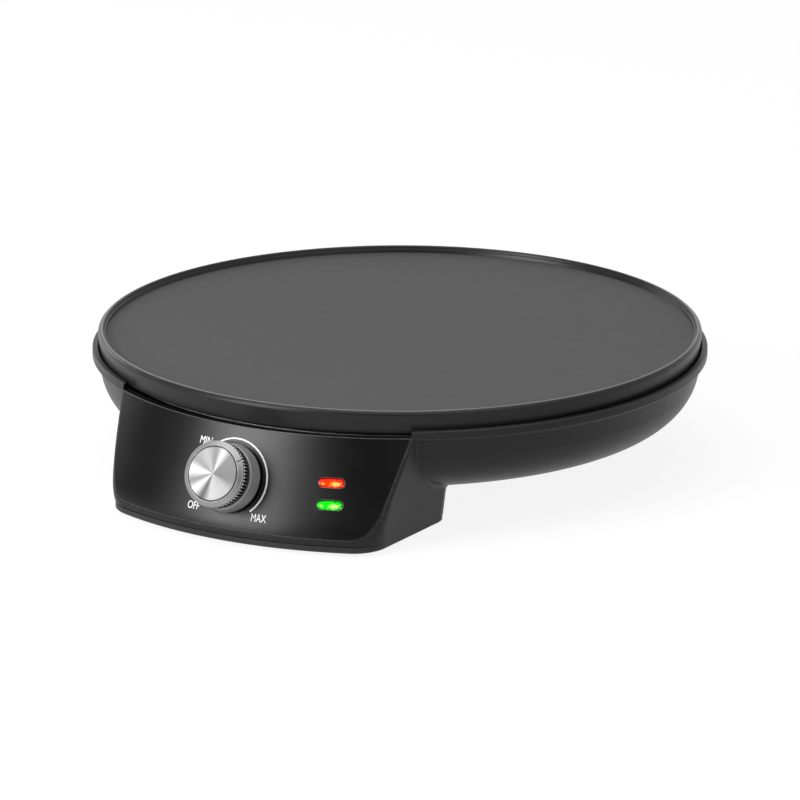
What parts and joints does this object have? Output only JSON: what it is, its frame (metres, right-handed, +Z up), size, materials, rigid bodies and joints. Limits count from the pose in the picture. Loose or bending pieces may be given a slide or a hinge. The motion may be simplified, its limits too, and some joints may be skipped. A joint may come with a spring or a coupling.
{
  "type": "electric crepe maker",
  "caption": "Round electric crepe maker: low rimmed hot plate on a bowl shaped base, with a front control box, turning knob and two signal lamps.",
  "frame": {"origin": "on the table, under the middle of the whole part's bounding box", "axes": "+Z up, -Y towards the control panel and knob, +X to the right seen from the front"},
  "size_m": [0.3058, 0.3373, 0.066],
  "materials": {
    "coated_cast": "dark matte non-stick coating on cast aluminium",
    "sheath_steel": "heat darkened tube",
    "plated_steel": "zinc plated",
    "aluminised_steel": "pressed sheet, dull bright",
    "copper": "drawn copper tube",
    "phenolic": "dark moulded thermoset",
    "housing_black": "satin black moulding",
    "cover_black": "fine textured black moulding",
    "panel_gloss": "high gloss black",
    "lens_red": "clear red",
    "lens_green": "clear green",
    "lamp_glass": "clear glow lamp",
    "knob_plastic": "black moulding",
    "dark_chrome": "smoked chrome",
    "grip_metal": "toothed bright metal",
    "bezel_metal": "bright bevel",
    "spun_metal": "circular spun brushing",
    "rubber_black": "matte",
    "inlet_nylon": "black nylon",
    "block_nylon": "natural nylon"
  },
  "bodies": {
    "appliance": {"cooking_plate": "coated_cast", "heating_element": "sheath_steel", "element_terminals": "plated_steel", "sensor_bulb": "copper", "sensor_clip": "plated_steel", "overheat_cutout": "phenolic", "capillary_tube": "copper", "heat_shield": "aluminised_steel", "plate_spacers": "plated_steel", "plate_screws": "plated_steel", "base_housing": "housing_black", "control_panel": "panel_gloss", "power_lamp_lens": "lens_red", "ready_lamp_lens": "lens_green", "lamp_holder": "housing_black", "neon_lamps": "lamp_glass", "thermostat_bracket": "plated_steel", "thermostat_body": "phenolic", "thermostat_nut": "plated_steel", "bracket_screws": "plated_steel", "bottom_cover": "cover_black", "cover_screws": "plated_steel", "front_foot_pads": "rubber_black", "rear_leg_left": "cover_black", "rear_leg_right": "cover_black", "rear_foot_pads": "rubber_black", "leg_screws": "plated_steel", "cord_inlet": "inlet_nylon", "terminal_block": "block_nylon"},
    "knob": {"knob_core": "knob_plastic", "knob_skirt": "dark_chrome", "knob_grip": "grip_metal", "knob_bezel": "bezel_metal", "knob_cap": "spun_metal", "thermostat_shaft": "plated_steel"}
  },
  "joints": [
    {"name": "knob_turn", "type": "hinge", "parent": "appliance", "child": "knob", "pos_m": [0, -0.14677, 0.0304], "axis": [0, 0.9239, -0.3827], "range_deg": [-178, 86]}
  ]
}
